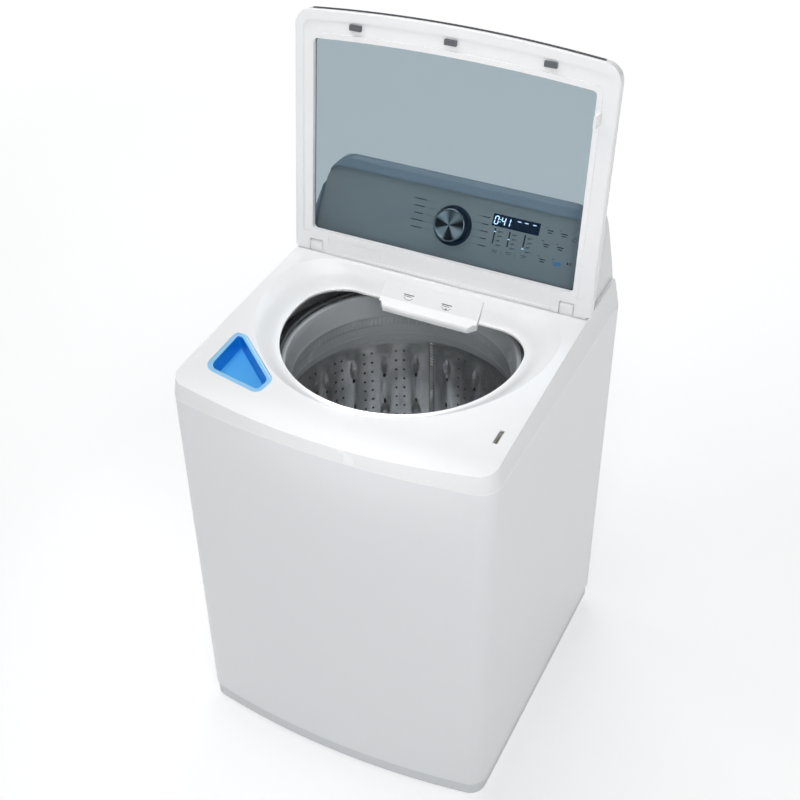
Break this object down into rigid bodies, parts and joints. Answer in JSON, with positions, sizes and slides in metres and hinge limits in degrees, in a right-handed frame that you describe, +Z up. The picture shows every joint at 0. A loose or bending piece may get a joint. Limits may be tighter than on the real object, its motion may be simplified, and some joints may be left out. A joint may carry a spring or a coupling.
{
  "type": "top load washing machine",
  "caption": "White top load washing machine, hinged glass lid open, rear control console, steel basket, pull-out dispenser drawer and blue triangular pretreat cup.",
  "frame": {"origin": "floor level under the middle of the cabinet, lid open", "axes": "+X to the machine's right as seen from the front, +Y to the back, +Z up; front faces -Y"},
  "size_m": [0.698, 0.7169, 1.5143],
  "materials": {
    "white_enamel": "gloss baked enamel",
    "grey_base": "satin moulded base",
    "zinc_sheet": "galvanised sheet",
    "zinc_hardware": "zinc plated",
    "foot_rubber": "matt rubber",
    "white_moulding": "semi gloss moulding",
    "seam_gasket": "bright extruded bead",
    "console_sheet": "painted sheet",
    "fascia_grey": "metallic grey film",
    "display_black": "smoked window",
    "bezel_dark": "dark gloss ring",
    "knob_chrome": "spun metal face",
    "board_green": "coated circuit board",
    "black_plastic": "black moulding",
    "valve_white": "glass filled nylon",
    "lock_metal": "pressed steel",
    "inverter_case": "finned cast housing",
    "cup_blue": "translucent blue moulding",
    "tinted_glass": "blue grey tempered glass",
    "bumper_grey": "soft grey rubber",
    "tub_plastic": "filled polypropylene",
    "ring_grey": "grey polypropylene",
    "balance_grey": "grey semi gloss moulding",
    "basket_steel": "bright stainless sheet",
    "base_steel": "pressed stainless",
    "motor_copper": "varnished winding",
    "rotor_steel": "coated pressing",
    "shifter_white": "acetal",
    "plate_grey": "grey polypropylene",
    "cap_chrome": "plated cap"
  },
  "bodies": {
    "cabinet": {"cabinet_shell": "white_enamel", "base_frame": "grey_base", "rear_panel": "zinc_sheet", "corner_brackets": "zinc_sheet", "suspension_rods": "zinc_hardware", "foot_locknuts": "zinc_hardware", "top_panel": "white_moulding", "seam_trim": "seam_gasket", "console_housing": "white_moulding", "console_back": "console_sheet", "control_fascia": "fascia_grey", "display_window": "display_black", "knob_bezel": "bezel_dark", "control_board": "board_green", "selector_encoder": "black_plastic", "inlet_valve": "valve_white", "fill_manifold": "valve_white", "drain_port": "black_plastic", "cord_inlet": "black_plastic", "motor_inverter": "inverter_case", "dispenser_housing": "valve_white", "lid_lock": "valve_white"},
    "lid": {"lid_frame": "white_moulding", "lid_glass": "tinted_glass", "lid_bumpers": "bumper_grey", "lid_strike": "white_moulding", "lid_hinge_pins": "lock_metal", "lid_front_trim": "bezel_dark"},
    "dispenser": {"dispenser_drawer": "white_moulding", "softener_siphon": "valve_white"},
    "cup": {"pretreat_cup": "cup_blue"},
    "knob": {"cycle_knob": "knob_chrome"},
    "bolt": {"lock_bolt": "lock_metal"},
    "foot_fl": {"foot_front_left": "foot_rubber"},
    "foot_fr": {"foot_front_right": "foot_rubber"},
    "foot_rl": {"foot_rear_left": "foot_rubber"},
    "foot_rr": {"foot_rear_right": "foot_rubber"},
    "wash_unit": {"outer_tub": "tub_plastic", "tub_ring": "ring_grey", "bearing_housing": "inverter_case", "tub_bearings": "base_steel", "motor_stator": "motor_copper", "suspension_arms": "zinc_sheet", "damper_cups": "bumper_grey", "drain_pump": "black_plastic", "shift_actuator": "black_plastic"},
    "shifter": {"mode_shifter": "shifter_white"},
    "pump_wheel": {"pump_impeller": "shifter_white"},
    "wash_basket": {"basket": "basket_steel", "balance_ring": "balance_grey", "basket_base": "base_steel", "spin_shaft": "base_steel"},
    "plate_drive": {"wash_plate": "plate_grey", "drive_shaft": "base_steel", "wash_plate_cap": "cap_chrome", "motor_rotor": "rotor_steel"}
  },
  "joints": [
    {"name": "lid_hinge", "type": "hinge", "parent": "cabinet", "child": "lid", "pos_m": [0, 0.18638, 0.98913], "axis": [1, 0, 0], "range_deg": [0, 99.5]},
    {"name": "drawer_slide", "type": "slide", "parent": "cabinet", "child": "dispenser", "axis": [0, -1, 0], "range_m": [0, 0.11]},
    {"name": "cup_lift", "type": "slide", "parent": "cabinet", "child": "cup", "axis": [0, -0.0698, 0.9976], "range_m": [0, 0.075]},
    {"name": "knob_turn", "type": "hinge", "parent": "cabinet", "child": "knob", "pos_m": [0, 0.25875, 1.06965], "axis": [0, -0.866, 0.5], "continuous": true},
    {"name": "bolt_slide", "type": "slide", "parent": "cabinet", "child": "bolt", "axis": [-1, 0, 0], "range_m": [0, 0.0115]},
    {"name": "foot_fl_screw", "type": "slide", "parent": "cabinet", "child": "foot_fl", "axis": [0, 0, -1], "range_m": [0, 0.012]},
    {"name": "foot_fr_screw", "type": "slide", "parent": "cabinet", "child": "foot_fr", "axis": [0, 0, -1], "range_m": [0, 0.012]},
    {"name": "foot_rl_screw", "type": "slide", "parent": "cabinet", "child": "foot_rl", "axis": [0, 0, -1], "range_m": [0, 0.012]},
    {"name": "foot_rr_screw", "type": "slide", "parent": "cabinet", "child": "foot_rr", "axis": [0, 0, -1], "range_m": [0, 0.012]},
    {"name": "tub_bounce", "type": "slide", "parent": "cabinet", "child": "wash_unit", "axis": [0, 0, 1], "range_m": [-0.02, 0.006], "stiffness_N_per_m": 16000, "springref_m": 0.02453},
    {"name": "shifter_slide", "type": "slide", "parent": "wash_unit", "child": "shifter", "axis": [0, 0, -1], "range_m": [0, 0.005]},
    {"name": "pump_spin", "type": "hinge", "parent": "wash_unit", "child": "pump_wheel", "pos_m": [0.172, -0.118, 0.24], "axis": [0, 0, 1], "continuous": true},
    {"name": "basket_spin", "type": "hinge", "parent": "wash_unit", "child": "wash_basket", "pos_m": [0, 0.006, 0.5], "axis": [0, 0, 1], "continuous": true},
    {"name": "plate_spin", "type": "hinge", "parent": "wash_basket", "child": "plate_drive", "pos_m": [0, 0.006, 0.34], "axis": [0, 0, 1], "continuous": true}
  ]
}
